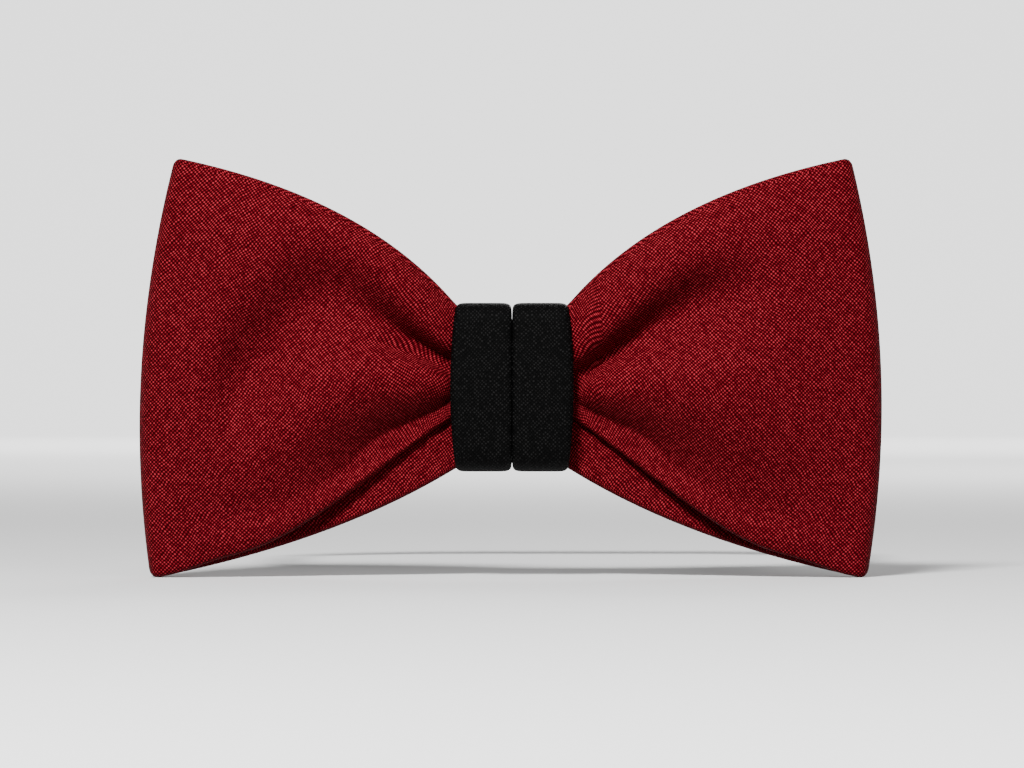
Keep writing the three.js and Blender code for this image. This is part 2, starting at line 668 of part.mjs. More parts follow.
const burgundyCloth = new THREE.MeshStandardMaterial({ color: 0x8a1420, roughness: 0.85, metalness: 0 });
const blackCloth = new THREE.MeshStandardMaterial({ color: 0x0d0d0d, roughness: 0.9, metalness: 0 });
const strapCloth = new THREE.MeshStandardMaterial({ color: 0x121212, roughness: 0.85, metalness: 0 });
const interliningCloth = new THREE.MeshStandardMaterial({ color: 0xd8d2c4, roughness: 1, metalness: 0 });
const blackThread = new THREE.MeshStandardMaterial({ color: 0x1a1a1a, roughness: 0.7, metalness: 0 });
const nickel = new THREE.MeshStandardMaterial({ color: 0xb9b9bd, roughness: 0.3, metalness: 1 });

const bowTie = new THREE.Group();

const wingCloth = clothTube();
const wingInterlining = interliningSheet();
SIDES.forEach(([side, sign]) => {
  bowTie.add(named(`${side}_wing_cloth`, onSide(wingCloth, side), burgundyCloth));
  bowTie.add(named(`${side}_wing_interlining`, onSide(wingInterlining, side), interliningCloth));
  bowTie.add(named(`knot_band_${side}`, knotBand(sign), blackCloth));
  const tack = named(`strap_tack_${side}`, tackGeometry(KNOT_TACK_HEIGHT), blackThread);
  tack.position.set(sign * BAND_MIDDLE_X, -SEWING_THREAD / 2, 0);
  bowTie.add(tack);
});

bowTie.add(named('bow_waist', bowWaist(), burgundyCloth));
bowTie.add(named('waist_binding_thread', bindingThread(), blackThread));
bowTie.add(named('knot_back_stitching', knotBackStitching(), blackThread));
bowTie.add(named('neck_strap', neckStrap(), strapCloth));
bowTie.add(named('strap_end', strapEnd(), strapCloth));
bowTie.add(named('strap_return', strapReturn(), strapCloth));
bowTie.add(named('slider_loop', sliderLoop(), strapCloth));
bowTie.add(named('slider', sliderFrame(), nickel));
bowTie.add(named('hook', hookFrame(), nickel));
bowTie.add(named('eye', eyeRing(), nickel));

const sliderTack = named('slider_bar_tack', tackGeometry(STRAP_TACK_HEIGHT), blackThread);
sliderTack.rotation.z = Math.PI / 2;
const sliderTackX = FLANK_X + 2 * LAP_OFFSET + STRAP_HALF + CLEARANCE + SEWING_THREAD / 2;
sliderTack.position.set(sliderTackX, SLIDER_PLACE + SLIDER_LAP - TACK_WIDTH, 0);
bowTie.add(sliderTack);

// Across the doubled strap beside the eye, on the outer layer of the curved corner.
const eyeTack = named('eye_bar_tack', tackGeometry(STRAP_TACK_HEIGHT), blackThread);
const eyeTackAngle = radians(4);
const eyeTackRadius = LOOP_CORNER + LAP_OFFSET + STRAP_HALF + CLEARANCE + SEWING_THREAD / 2;
eyeTack.rotation.z = Math.PI / 2 + eyeTackAngle;
eyeTack.position.set(
  CORNER_X + eyeTackRadius * Math.cos(eyeTackAngle),
  BACK_CORNER_Y + eyeTackRadius * Math.sin(eyeTackAngle),
  0,
);
bowTie.add(eyeTack);

export default bowTie;
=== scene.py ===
# A pre-tied butterfly bow tie: burgundy woven wings, a black two-band knot and an adjustable strap.
# Lengths are millimetres here and become metres as each mesh is made. The bow faces -Y, +Z is up.
import json
import math

import bpy
import numpy as np
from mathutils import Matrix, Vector


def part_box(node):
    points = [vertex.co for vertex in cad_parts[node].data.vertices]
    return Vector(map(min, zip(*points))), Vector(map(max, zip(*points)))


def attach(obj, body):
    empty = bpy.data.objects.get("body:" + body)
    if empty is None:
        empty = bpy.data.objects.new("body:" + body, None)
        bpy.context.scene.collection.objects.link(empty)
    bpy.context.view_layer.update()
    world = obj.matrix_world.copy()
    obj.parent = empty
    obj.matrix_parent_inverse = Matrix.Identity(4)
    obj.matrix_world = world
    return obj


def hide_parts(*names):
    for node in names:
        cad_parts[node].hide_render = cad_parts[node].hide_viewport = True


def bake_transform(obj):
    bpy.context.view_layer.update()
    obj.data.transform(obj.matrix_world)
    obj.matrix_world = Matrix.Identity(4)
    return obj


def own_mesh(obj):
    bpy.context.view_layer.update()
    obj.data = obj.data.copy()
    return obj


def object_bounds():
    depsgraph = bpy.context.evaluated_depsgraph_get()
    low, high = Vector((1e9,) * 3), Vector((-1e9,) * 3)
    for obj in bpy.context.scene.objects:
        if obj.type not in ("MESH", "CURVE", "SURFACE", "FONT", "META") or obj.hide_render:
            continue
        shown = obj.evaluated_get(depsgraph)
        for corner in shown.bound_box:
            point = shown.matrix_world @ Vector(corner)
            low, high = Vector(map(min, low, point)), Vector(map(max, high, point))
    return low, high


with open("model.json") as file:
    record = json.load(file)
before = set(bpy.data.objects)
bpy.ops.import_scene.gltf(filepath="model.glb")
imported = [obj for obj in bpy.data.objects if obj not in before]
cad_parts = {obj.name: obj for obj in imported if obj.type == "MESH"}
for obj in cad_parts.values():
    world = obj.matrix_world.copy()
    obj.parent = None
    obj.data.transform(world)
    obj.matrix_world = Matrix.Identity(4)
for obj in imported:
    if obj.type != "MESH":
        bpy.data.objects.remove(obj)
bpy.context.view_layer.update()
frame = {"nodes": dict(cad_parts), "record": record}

MM = 0.001


# ---- Sizes taken from the frame ---------------------------------------------------------------

def box_mm(node):
    low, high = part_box(node)
    return np.array(low) / MM, np.array(high) / MM


def joint_place(name):
    joints = frame["record"]["behaviour"]["joints"]
    return np.array(next(j["pos_m"] for j in joints if j["name"] == name)) / MM


band_low, band_high = box_mm("knot_band_right")
wing_low, wing_high = box_mm("right_wing_cloth")
strap_low, strap_high = box_mm("neck_strap")
return_low, return_high = box_mm("strap_return")
slider_low, slider_high = box_mm("slider")
eye_low, eye_high = box_mm("eye")
hook_bar = joint_place("hook_tilt")

CLEARANCE = 0.3
KNOT_HALF_WIDTH = band_high[0]
KNOT_HALF_HEIGHT = band_high[2]
KNOT_FRONT_Y = band_low[1]
KNOT_BACK_Y = band_high[1]
WING_MIDDLE_Y = (KNOT_FRONT_Y + KNOT_BACK_Y) / 2
STRAP_HALF_WIDTH = strap_high[2]
STRAP_THICKNESS = return_high[0] - return_low[0]
STRAP_MIDDLE_Y = -STRAP_THICKNESS / 2
LAP_OFFSET = STRAP_THICKNESS + CLEARANCE
FLANK_X = -strap_low[0] - STRAP_THICKNESS / 2
LOOP_BACK_Y = strap_high[1] - STRAP_THICKNESS / 2
RIGHT_CORNER = 32.0
LEFT_CORNER = 42.0
SLIDER_Y = (slider_low[1] + slider_high[1]) / 2
SLIDER_BAR = 1.4
WIRE = 1.6


# ---- Small helpers ----------------------------------------------------------------------------

def lerp(a, b, share):
    return a + (b - a) * share


def radians_between(start, end, share):
    return math.radians(lerp(start, end, share))


def smoothstep(start, end, value):
    share = np.clip((value - start) / (end - start), 0, 1)
    return share * share * (3 - 2 * share)


def bowed_share(run, along, up):
    """Height share of a quadratic Bezier curve from (0, 0) to (1, 1), at a given run share."""
    bend = 1 - 2 * along
    place = (np.sqrt(along * along + bend * run) - along) / bend
    return 2 * place * (1 - place) * up + place * place


def arc(x, y, radius, start, end, steps):
    """Points along an arc, angles in degrees, both ends included."""
    angles = np.radians(np.linspace(start, end, steps + 1))
    return np.stack([x + radius * np.cos(angles), y + radius * np.sin(angles)], axis=1)


def rounded(wave, power):
    """A sine or cosine squared off into a rounded box's side: 1 leaves it round, 0 makes it square."""
    return np.sign(wave) * np.abs(wave) ** power


def make_piece(name, points, faces, material, grain=None):
    """A mesh object from points in millimetres; grain gives cloth coordinates for each face corner."""
    mesh = bpy.data.meshes.new(name)
    mesh.from_pydata([tuple(p) for p in np.asarray(points, float) * MM], [], [tuple(f) for f in faces])
    if grain is not None:
        layer = mesh.uv_layers.new(name="grain")
        layer.uv.foreach_set("vector", np.asarray(grain, np.float32).ravel())
    mesh.polygons.foreach_set("use_smooth", [True] * len(mesh.polygons))
    mesh.materials.append(material)
    mesh.update()
    piece = bpy.data.objects.new(name, mesh)
    bpy.context.scene.collection.objects.link(piece)
    return piece


def loft(rings, ring_u, ring_v, closed_ends):
    """Points, quads and face-corner coordinates for closed rings joined in order.

    rings is (stations, count, 3). ring_u is (stations, count) and ring_v (stations, count + 1),
    whose last column is the value on coming back to the first point.
    """
    stations, count = rings.shape[:2]
    points = rings.reshape(-1, 3)
    i, k = np.meshgrid(np.arange(stations - 1), np.arange(count), indexing="ij")
    i, k = i.ravel(), k.ravel()
    following = (k + 1) % count
    faces = np.stack([i * count + k, (i + 1) * count + k,
                      (i + 1) * count + following, i * count + following], axis=1)
    u = np.stack([ring_u[i, k], ring_u[i + 1, k], ring_u[i + 1, following], ring_u[i, following]], 1)
    v = np.stack([ring_v[i, k], ring_v[i + 1, k], ring_v[i + 1, k + 1], ring_v[i, k + 1]], 1)
    faces = [tuple(f) for f in faces]
    grain = np.stack([u, v], axis=2).reshape(-1, 2)
    if closed_ends:
        first = tuple(range(count))
        last = tuple(range(stations * count - 1, (stations - 1) * count - 1, -1))
        faces += [first, last]
        ends = [[ring_u[0, j], ring_v[0, j]] for j in range(count)]
        ends += [[ring_u[-1, j], ring_v[-1, j]] for j in range(count - 1, -1, -1)]
        grain = np.concatenate([grain, np.array(ends)])
    return points, faces, grain


def lengths_along(points, axis):
    """Running length along one axis of a grid of points, starting at 0."""
    steps = np.linalg.norm(np.diff(points, axis=axis), axis=-1)
    pad = [(0, 0), (0, 0)]
    pad[axis] = (1, 0)
    return np.cumsum(np.pad(steps, pad), axis=axis)


# ---- Materials --------------------------------------------------------------------------------

class Nodes:
    """Short names for building a material's node tree."""

    def __init__(self, name, **inputs):
        self.material = bpy.data.materials.new(name)
        self.material.use_nodes = True
        self.tree = self.material.node_tree
        self.shader = self.tree.nodes["Principled BSDF"]
        for socket, value in inputs.items():
            self.shader.inputs[socket.replace("_", " ")].default_value = value

    def feed(self, socket, value):
        if isinstance(value, bpy.types.NodeSocket):
            self.tree.links.new(value, socket)
        else:
            socket.default_value = value

    def math(self, operation, a, b=0.0):
        node = self.tree.nodes.new("ShaderNodeMath")
        node.operation = operation
        self.feed(node.inputs[0], a)
        self.feed(node.inputs[1], b)
        return node.outputs[0]

    def grain(self):
        """The cloth's own coordinates along and across it, in millimetres."""
        layer = self.tree.nodes.new("ShaderNodeUVMap")
        layer.uv_map = "grain"
        parts = self.tree.nodes.new("ShaderNodeSeparateXYZ")
        self.tree.links.new(layer.outputs["UV"], parts.inputs[0])
        return layer.outputs["UV"], parts.outputs["X"], parts.outputs["Y"]

    def place(self):
        """The point's place in space, in metres."""
        return self.tree.nodes.new("ShaderNodeTexCoord").outputs["Object"]

    def noise(self, vector, scale, detail=2.0, stretch=(1.0, 1.0, 1.0)):
        mapping = self.tree.nodes.new("ShaderNodeMapping")
        mapping.inputs["Scale"].default_value = stretch
        self.tree.links.new(vector, mapping.inputs["Vector"])
        node = self.tree.nodes.new("ShaderNodeTexNoise")
        node.inputs["Scale"].default_value = scale
        node.inputs["Detail"].default_value = detail
        self.tree.links.new(mapping.outputs[0], node.inputs["Vector"])
        return node.outputs["Fac"]

    def ramp(self, value, stops):
        node = self.tree.nodes.new("ShaderNodeValToRGB")
        points = node.color_ramp.elements
        while len(points) < len(stops):
            points.new(0.5)
        for point, (place, colour) in zip(points, stops):
            point.position = place
            point.color = (*colour, 1.0)
        self.feed(node.inputs[0], value)
        return node.outputs["Color"]

    def bump(self, height, distance, strength=1.0):
        node = self.tree.nodes.new("ShaderNodeBump")
        node.inputs["Strength"].default_value = strength
        node.inputs["Distance"].default_value = distance
        self.feed(node.inputs["Height"], height)
        self.tree.links.new(node.outputs[0], self.shader.inputs["Normal"])

    def colour(self, value):
        self.feed(self.shader.inputs["Base Color"], value)

    def roughness(self, value):
        self.feed(self.shader.inputs["Roughness"], value)


def plain_weave(nodes, pitch, wander):
    """A plain weave's height, 0 to 1, and a random value for each crossing of two yarns."""
    vector, along, across = nodes.grain()
    drift = nodes.math("MULTIPLY", nodes.math("SUBTRACT", nodes.noise(vector, 0.3, 3.0), 0.5), wander)
    warp = nodes.math("DIVIDE", nodes.math("ADD", along, drift), pitch)
    weft = nodes.math("DIVIDE", nodes.math("SUBTRACT", across, drift), pitch)
    waves = [nodes.math("COSINE", nodes.math("MULTIPLY", yarn, math.pi)) for yarn in (warp, weft)]
    height = nodes.math("ADD", nodes.math("MULTIPLY", nodes.math("MULTIPLY", *waves), 0.5), 0.5)
    crossing = nodes.tree.nodes.new("ShaderNodeCombineXYZ")
    for socket, yarn in zip(crossing.inputs, (warp, weft)):
        nodes.feed(socket, nodes.math("ROUND", yarn))
    chance = nodes.tree.nodes.new("ShaderNodeTexWhiteNoise")
    nodes.tree.links.new(crossing.outputs[0], chance.inputs["Vector"])
    return vector, height, chance.outputs["Value"]


YARN_PITCH = 0.37


def woven_cloth(name, stops, bump_depth, uneven, shine):
    """A plain weave: painted shade between the yarns, a painted highlight on their crowns, each crossing
    a little different.
    """
    nodes = Nodes(name, Roughness=0.7, Specular_IOR_Level=0.12, Specular_Tint=(*shine, 1.0))
    vector, height, chance = plain_weave(nodes, YARN_PITCH, YARN_PITCH * 2.5)
    lustre = nodes.math("ADD", nodes.math("MULTIPLY", chance, uneven), 1 - uneven / 2)
    cloud = nodes.math("ADD", nodes.math("MULTIPLY", nodes.noise(vector, 0.55, 3.0), 0.16), 0.92)
    # The colour follows the weave's height: painted shade in the gaps, painted highlight on the crowns,
    # times random tone.
    painted_light_and_tone = nodes.math("MULTIPLY", nodes.math("MULTIPLY", height, lustre), cloud)
    nodes.colour(nodes.ramp(painted_light_and_tone, stops))
    nodes.bump(height, bump_depth)
    return nodes.material


def burgundy_cloth():
    # From painted shade between the yarns up to a painted highlight on their crowns.
    stops = [(0.1, (0.004, 0.00005, 0.0002)), (0.4, (0.030, 0.0005, 0.0014)),
             (0.7, (0.12, 0.0040, 0.0080)), (1.0, (0.42, 0.030, 0.045))]
    return woven_cloth("burgundy weave", stops, bump_depth=0.00005, uneven=0.36, shine=(0.9, 0.06, 0.10))


def black_cloth():
    # From painted shade between the yarns up to a painted highlight on their crowns.
    stops = [(0.3, (0.0003, 0.0003, 0.0003)), (0.7, (0.0018, 0.0017, 0.0017)),
             (1.0, (0.012, 0.0115, 0.0115))]
    return woven_cloth("black weave", stops, bump_depth=0.00006, uneven=0.6, shine=(0.3, 0.3, 0.3))


RIB_PITCH = 0.6
STRAP_YARN_PITCH = 0.35


def strap_cloth():
    """Black grosgrain: fine ribs across the strap, with a painted highlight on the rib crests and painted
    shade between them.
    """
    nodes = Nodes("black grosgrain", Roughness=0.6, Sheen_Weight=0.03, Specular_IOR_Level=0.2)
    vector, along, across = nodes.grain()
    rib = nodes.math("ABSOLUTE", nodes.math("SINE", nodes.math("MULTIPLY", along, math.pi / RIB_PITCH)))
    yarn = nodes.math("COSINE", nodes.math("MULTIPLY", across, 2 * math.pi / STRAP_YARN_PITCH))
    height = nodes.math("ADD", rib, nodes.math("MULTIPLY", yarn, 0.2))
    fleck = nodes.noise(vector, 3.0, 2.0)
    # Colour: painted highlight on the rib crests, painted shade in the furrows, plus random flecks.
    painted_light_and_tone = nodes.math("MULTIPLY", nodes.math("ADD", rib, fleck), 0.5)
    nodes.colour(nodes.ramp(painted_light_and_tone, [(0.1, (0.003, 0.003, 0.0032)), (0.9, (0.022, 0.022, 0.024))]))
    nodes.bump(height, 0.00012)
    return nodes.material


def felt():
    nodes = Nodes("interlining felt", Roughness=0.95, Sheen_Weight=0.3)
    fibre = nodes.noise(nodes.place(), 1500.0, 4.0, (1.0, 1.0, 3.0))
    nodes.colour(nodes.ramp(fibre, [(0.3, (0.50, 0.46, 0.38)), (0.7, (0.72, 0.69, 0.61))]))
    nodes.bump(fibre, 0.0002)
    return nodes.material


def sewing_thread():
    nodes = Nodes("black thread", Roughness=0.5, Sheen_Weight=0.2)
    _, along, across = nodes.grain()
    twist = nodes.math("SINE", nodes.math("ADD", nodes.math("MULTIPLY", along, 9.0),
                                          nodes.math("MULTIPLY", across, 2 * math.pi)))
    # The colour follows the twist: painted shade between the plies and a painted highlight on them.
    nodes.colour(nodes.ramp(twist, [(0.0, (0.004, 0.004, 0.004)), (1.0, (0.02, 0.02, 0.021))]))
    nodes.bump(twist, 0.00003)
    return nodes.material


def cad_thread():
    """For the threads that come from the frame, which carry no cloth coordinates."""
    nodes = Nodes("black binding thread", Roughness=0.5, Sheen_Weight=0.2)
    fibre = nodes.noise(nodes.place(), 4000.0, 2.0)
    nodes.colour(nodes.ramp(fibre, [(0.3, (0.004, 0.004, 0.004)), (0.7, (0.02, 0.02, 0.021))]))
    nodes.bump(fibre, 0.00005)
    return nodes.material


def nickel():
    nodes = Nodes("nickel plate", Metallic=1.0)
    scratch = nodes.noise(nodes.place(), 900.0, 3.0, (1.0, 1.0, 0.08))
    patina = nodes.noise(nodes.place(), 120.0, 2.0)
    nodes.colour(nodes.ramp(patina, [(0.3, (0.56, 0.55, 0.53)), (0.7, (0.66, 0.65, 0.64))]))
    nodes.roughness(nodes.math("ADD", nodes.math("MULTIPLY", scratch, 0.22), 0.14))
    nodes.bump(scratch, 0.000008)
    return nodes.material


burgundy = burgundy_cloth()
black = black_cloth()
grosgrain = strap_cloth()
interlining = felt()
thread = sewing_thread()
binding = cad_thread()
plate = nickel()


# ---- Wings ------------------------------------------------------------------------------------

ROOT_X = 7.8  # where the gathered cloth starts, inside the knot
EDGE_START_X = KNOT_HALF_WIDTH - 0.9  # where the edge curves start
ROOT_TOP = 15.4
ROOT_BOTTOM = 15.2
ROOT_TAPER = 0.35  # how fast the edges close in towards the root, inside the knot
LEAF_STEP = 9.0  # front hem above the back hem, at the knot
HEM_SHOWS = 0.9  # how much of the back hem shows, until near the outer corner
CORNER_RADIUS = 1.6
BLADE_HALF = 0.95  # half the thickness of a leaf with its interlining
CLOTH = 0.45
HEM = 0.9
INTERLINING_HALF = 0.2
INTERLINING_GAP = 0.4
FOLD_RADIUS = 2.0
FRONT_SPREAD = 2.8  # front leaf's middle from the wing's middle, at the knot
FRONT_FULLNESS = 5.4  # how far the front leaf swells between the knot and the fold
BACK_SPREAD = 1.8
HEM_TOUCH = 0.3  # front hem's middle from the wing's middle, at the knot, where it nears the back leaf
LEAST_RELIEF = -0.2  # the front leaf rests on the back leaf in the deepest creases
LOWER_DEPTH = 6.4
LOWER_CLIMB = 8.4  # how far the lower crease climbs from the hem on its way out
LOWER_SLANT = 0.87  # turns height above the lower crease into distance square to it
DIMPLE_CORNER = 9.0  # how softly the upper crease turns into the dimple
DIMPLE_FROM = 20  # millimetres out from the knot where the crease starts to fade with height
GATHER_PITCH = 6.5
GATHER_DEPTH = 0.25
CORNER_OVERSHOOT = 0.2

# Creases of the front leaf, in millimetres out from the knot's side and up from its middle. Each
# wing's upper crease bends into a round dimple and fades out, further down on the left wing.
LEFT_CREASES = {
    "upper": {"z": 4.0, "slope": 0.64}, "upper_depth": 6.4, "spread": 8.0,
    "minor": {"z": 3.6, "slope": 0.36}, "minor_depth": 1.8,
    "centre": (-4.0, -20.0), "radius": 46.8, "fade_z": (-20, 6), "fade_out": (39, 52),
}
RIGHT_CREASES = {
    "upper": {"z": 3.7, "slope": 0.58}, "upper_depth": 6.4, "spread": 6.0,
    "minor": {"z": 2.6, "slope": 0.36}, "minor_depth": 0.8,
    "centre": (31.0, -22.0), "radius": 40.6, "fade_z": (-18, 12), "fade_out": (20, 44),
}


def groove(distance, width, roundness):
    """A valley's depth share at a distance from its line: a sharp fold at 1, a soft dip at 2."""
    return np.exp(-(np.abs(distance) / width) ** roundness)


def crease_distance(crease, x, z):
    """Height above a straight crease's line, square to it."""
    rise = z - crease["z"] - crease["slope"] * x
    return rise / math.hypot(1, crease["slope"])


def blended_minimum(a, b, reach):
    overlap = np.maximum(reach - np.abs(a - b), 0) / reach
    return np.minimum(a, b) - overlap * overlap * reach / 4


class Wing:
    """One wing's shape.

    A station is a leaf or the fold, and a place 0 to 1 along it. down runs 0 to 1 from the top edge
    to the hem. run is the share of the way from the knot's side to the outer edge.
    """

    def __init__(self, side, top_inset, bottom_inset, reach, creases):
        self.side = side
        self.sign = {"left": -1, "right": 1}[side]
        self.top_inset = top_inset
        self.bottom_inset = bottom_inset
        self.reach = reach
        self.creases = creases

    def outer_x(self, down):
        mean = (self.top_inset + self.bottom_inset) / 2
        bulge = (mean + math.sqrt(self.top_inset * self.bottom_inset)) / 2
        inset = lerp(self.top_inset, self.bottom_inset, down)
        return self.reach - inset + 4 * bulge * down * (1 - down)

    def fold_x(self, down):
        """Where the leaves end and the fold begins."""
        return self.outer_x(down) - FOLD_RADIUS - BLADE_HALF

    def run(self, x, down):
        """Share of the way from the knot's side to the outer edge, below 0 inside the knot."""
        return (x - EDGE_START_X) / (self.outer_x(down) - EDGE_START_X)

    def edge_z(self, x, run, root, corner, bow):
        span = self.reach - EDGE_START_X
        inside = np.minimum(run, 0) * ROOT_TAPER * span
        height = inside + lerp(root, corner, bowed_share(np.clip(run, 0, 1), *bow))
        past = np.clip((run - 1) * span + CORNER_RADIUS, 0, CORNER_RADIUS)
        return height - (CORNER_RADIUS - np.sqrt(CORNER_RADIUS ** 2 - past ** 2))

    def top_z(self, x, run):
        return self.edge_z(x, run, ROOT_TOP, wing_high[2] + CORNER_OVERSHOOT, (0.32, 0.74))

    def back_hem_z(self, x, run):
        return -self.edge_z(x, run, ROOT_BOTTOM, -wing_low[2] + CORNER_OVERSHOOT, (0.4, 0.68))

    def front_hem_z(self, x, run):
        step = LEAF_STEP * (1 - smoothstep(0.0, 0.7, run))
        step = step + HEM_SHOWS * (1 - smoothstep(0.75, 0.93, run))
        return self.back_hem_z(x, run) + step

    def front_relief(self, x, z, run, down, height):
        """How far the front leaf stands in front of the wing's middle."""
        run = np.clip(run, 0, 1)
        out = np.maximum(x - KNOT_HALF_WIDTH, 0)
        opening = smoothstep(0, 26, out)
        crown = np.sin(math.pi * np.clip(down, 0, 1)) ** lerp(0.4, 0.7, smoothstep(0.5, 0.8, down))
        relief = lerp(FRONT_SPREAD, FOLD_RADIUS, run)
        relief = relief + FRONT_FULLNESS * np.sin(math.pi * run ** 0.8) * crown

        # The upper crease leaves the knot, turns a round corner and fades out in the dimple.
        creases = self.creases
        below = -crease_distance(creases["upper"], out, z)
        centre_out, centre_z = creases["centre"]
        inside = creases["radius"] - np.hypot(out - centre_out, z - centre_z)
        distance = blended_minimum(below, inside, DIMPLE_CORNER)
        width = np.where(distance < 0, lerp(1.4, creases["spread"], opening), lerp(1.5, 10.0, opening))
        fade = np.where(out > DIMPLE_FROM, smoothstep(*creases["fade_z"], z), 1)
        fade = fade * (1 - smoothstep(*creases["fade_out"], out))
        relief = relief - creases["upper_depth"] * fade * groove(distance, width, lerp(1.2, 2, opening))

        # The minor crease is a short one beside the upper crease, near the knot.
        offset = crease_distance(creases["minor"], out, z)
        fade = 1 - smoothstep(8, 24, out)
        relief = relief - creases["minor_depth"] * fade * groove(offset, lerp(1.0, 2.6, opening), 1.8)

        # The lower crease keeps above the hem, broad on its upper side and steep on its lower side.
        from_hem = (1 - down) * height
        offset = (from_hem - lerp(1.2, 2.3, opening) - LOWER_CLIMB * run) * LOWER_SLANT
        width = np.where(offset > 0, lerp(2.4, 10.0, opening), lerp(1.2, 4.0, opening))
        fade = 1 - 0.6 * smoothstep(10, 32, out) - 0.4 * smoothstep(30, 56, out)
        relief = relief - LOWER_DEPTH * fade * groove(offset, width, lerp(1.2, 1.9, opening))
        relief = np.maximum(relief, LEAST_RELIEF)

        # Both edges of the leaf come back to where the seams hold them.
        hem = lerp(HEM_TOUCH, FOLD_RADIUS, smoothstep(0.1, 0.6, run))
        relief = lerp(relief, hem, np.exp(-from_hem / lerp(1.6, 0.9, smoothstep(0.2, 0.5, run))))
        top = lerp(1.4, FOLD_RADIUS, smoothstep(0.1, 0.9, run))
        return lerp(relief, top, np.exp(-down * height / 1.5))

    def back_relief(self, run, down, height):
        """How far the back leaf stands behind the wing's middle."""
        run = np.clip(run, 0, 1)
        gathers = GATHER_DEPTH * np.cos(down * height * 2 * math.pi / GATHER_PITCH)
        gathers = gathers * (1 - smoothstep(0, 0.35, run))
        return lerp(BACK_SPREAD, FOLD_RADIUS, run) + gathers

    def stations(self, front_steps, fold_steps, back_steps):
        front = [("front", share ** 1.25) for share in np.linspace(0, 1, front_steps + 1)]
        fold = [("fold", share) for share in np.linspace(0, 1, fold_steps + 1)[1:-1]]
        back = [("back", share ** 1.25) for share in np.linspace(1, 0, back_steps + 1)]
        return front + fold + back

    def point(self, station, down, off):
        """Points at a station, off millimetres from the blade's middle towards its outside."""
        down = np.asarray(down, float)
        leaf, place = station
        share = place if leaf != "fold" else 1.0
        x = lerp(ROOT_X, self.fold_x(down), share)
        turn = radians_between(-90, 90, place) if leaf == "fold" else 0.0
        shift = (FOLD_RADIUS + off) * math.cos(turn) if leaf == "fold" else 0.0
        run = self.run(x + shift, down)
        top = self.top_z(x + shift, run)
        bottom = self.front_hem_z(x, run) if leaf == "front" else self.back_hem_z(x, run)
        height = top - bottom
        z = lerp(top, bottom, down)
        front = WING_MIDDLE_Y - self.front_relief(x, z, run, down, height)
        back = WING_MIDDLE_Y + self.back_relief(run, down, height)
        if leaf == "front":
            y = front - off
        elif leaf == "back":
            y = back + off
        else:
            x = x + shift
            y = (front + back) / 2 + ((back - front) / 2 + off) * math.sin(turn)
        return np.stack([x, y, z], axis=-1)

    def ring(self, station, half, inset_mm, steps, hem_steps):
        """A closed ring round the blade: outside from top to bottom, hem, inside back up, hem."""
        ends = self.point(station, [0.0, 1.0], 0.0)
        inset = inset_mm / (ends[0, 2] - ends[1, 2])
        down = np.linspace(inset, 1 - inset, steps + 1)
        outside = self.point(station, down, half)
        inside = self.point(station, down[::-1], -half)
        turns = np.radians(np.linspace(0, 180, hem_steps + 1)[1:-1])
        hems = []
        for place, way in ((down[-1], -1), (down[0], 1)):
            a = self.point(station, [place], half)[0]
            b = self.point(station, [place], -half)[0]
            start, end = (a, b) if way < 0 else (b, a)
            middle = (start + end) / 2
            arm = (start - end) / 2
            lift = np.array([0, 0, way * half])
            hems.append(np.array([middle + arm * math.cos(t) + lift * math.sin(t) for t in turns]))
        return np.concatenate([outside, hems[0], inside, hems[1]])


FRONT_STATIONS = 84
FOLD_STATIONS = 16
BACK_STATIONS = 36
HEM_STEPS = 6
CLOTH_STEPS = 110
INTERLINING_STEPS = 70


def wing_rings(wing, half, inset, steps):
    stations = wing.stations(FRONT_STATIONS, FOLD_STATIONS, BACK_STATIONS)
    rings = np.stack([wing.ring(s, half, inset, steps, HEM_STEPS) for s in stations])
    rings[..., 0] *= wing.sign
    return rings


def grain_of(rings, steps):
    """Cloth coordinates of a wing's rings: length along the strip, and across it from its middle."""
    along = lengths_along(rings, 0)
    along = along - along[FRONT_STATIONS][None, :]
    closed = np.concatenate([rings, rings[:, :1]], axis=1)
    around = lengths_along(closed, 1)
    inside_start = steps + HEM_STEPS
    middles = around[:, [steps // 2, inside_start + steps // 2]]
    on_inside = np.arange(around.shape[1]) > steps + HEM_STEPS // 2
    return along, around - np.where(on_inside, middles[:, 1:], middles[:, :1])


def tube_piece(name, wing, steps):
    """The wing's cloth: an outer and an inner wall, open at both ends inside the knot."""
    outer = wing_rings(wing, BLADE_HALF, BLADE_HALF, steps)
    inner = wing_rings(wing, BLADE_HALF - CLOTH, BLADE_HALF + HEM, steps)
    parts = []
    for rings in (outer, inner):
        along, around = grain_of(rings, steps)
        parts.append(loft(rings, along, around, closed_ends=False))
    points = np.concatenate([parts[0][0], parts[1][0]])
    first = len(parts[0][0])
    outward = wing.sign > 0
    faces = [f if outward else f[::-1] for f in parts[0][1]]
    faces += [tuple(first + v for v in (f[::-1] if outward else f)) for f in parts[1][1]]
    grain = []
    for (_, _, corners), flip in ((parts[0], not outward), (parts[1], outward)):
        corners = corners.reshape(-1, 4, 2)
        grain.append(corners[:, ::-1] if flip else corners)
    count = outer.shape[1]
    last = (outer.shape[0] - 1) * count
    rims = []
    for k in range(count):
        n = (k + 1) % count
        near = (k, n, first + n, first + k)
        far = (last + n, last + k, first + last + k, first + last + n)
        rims += [near, far] if outward else [near[::-1], far[::-1]]
    grain.append(np.zeros((len(rims), 4, 2)))
    grain = np.concatenate(grain).reshape(-1, 2)
    return make_piece(name, points, faces + rims, burgundy, grain)


